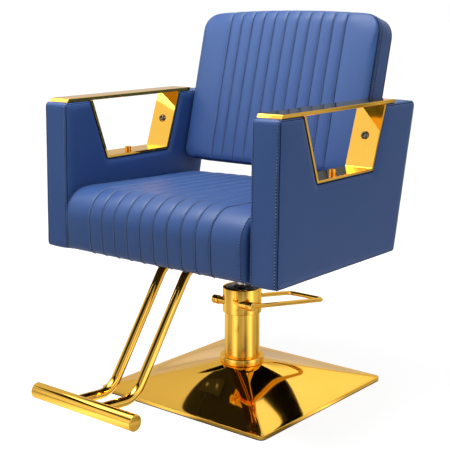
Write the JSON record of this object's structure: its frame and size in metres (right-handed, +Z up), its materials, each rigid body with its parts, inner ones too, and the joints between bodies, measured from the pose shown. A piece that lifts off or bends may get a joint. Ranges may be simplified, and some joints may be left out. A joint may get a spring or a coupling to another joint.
{
  "type": "barber chair",
  "caption": "Hydraulic styling chair with a channelled blue seat and back between box arms, gold trim, a foot pedal, a T-bar footrest and a square base.",
  "frame": {"origin": "on the floor under the pump's axis, the middle of the square base", "axes": "+Z up along the pump, the sitter faces -Y, +X is the sitter's left"},
  "size_m": [0.69, 0.8514, 0.9321],
  "materials": {
    "gold": "mirror-polished gold plating",
    "rubber": "matt",
    "black_steel": "satin black powder coat",
    "cast_iron": "rough, black",
    "zinc": "bright zinc plating",
    "bronze": "machined",
    "black_plastic": "semi-gloss",
    "chrome": "polished",
    "plywood": "raw plywood",
    "leather": "blue artificial leather, soft sheen"
  },
  "bodies": {
    "base": {"base_gasket": "rubber", "base_plate": "black_steel", "base_weight": "cast_iron", "base_cover": "gold", "base_collar": "gold", "pump_foot": "black_steel", "foot_bolts": "zinc", "pump_cylinder": "gold", "pressure_tube": "zinc", "pump_head": "zinc", "guide_bush": "bronze", "pump_sleeve": "gold", "pump_cap": "black_plastic"},
    "piston": {"ram": "chrome", "thrust_washer": "bronze"},
    "pedal": {"pedal_shaft": "gold", "pedal_loop": "gold"},
    "seat": {"seat_plate": "black_steel", "seat_bolts": "zinc", "seat_board": "plywood", "seat_cushion": "leather", "footrest_bracket": "black_steel", "footrest_bolts": "zinc", "footrest_tubes": "gold", "footrest_bar": "gold", "footrest_caps": "gold", "arm_left": "leather", "arm_right": "leather", "arm_straps": "black_steel", "strap_screws": "zinc", "cap_left": "gold", "cap_right": "gold", "liner_left": "gold", "liner_right": "gold", "liner_bolts": "gold", "back_cushion": "leather", "back_shell": "leather", "back_spacers": "zinc", "back_bolts": "zinc"}
  },
  "joints": [
    {"name": "lift", "type": "slide", "parent": "base", "child": "piston", "axis": [0, 0, 1], "range_m": [0, 0.15]},
    {"name": "swivel", "type": "hinge", "parent": "piston", "child": "seat", "pos_m": [0, 0, 0.345], "axis": [0, 0, 1], "continuous": true},
    {"name": "pedal", "type": "hinge", "parent": "base", "child": "pedal", "pos_m": [0, -0.035, 0.224], "axis": [1, 0, 0], "range_deg": [-20, 10], "stiffness_Nm_per_rad": 12, "springref_deg": 3.44}
  ]
}
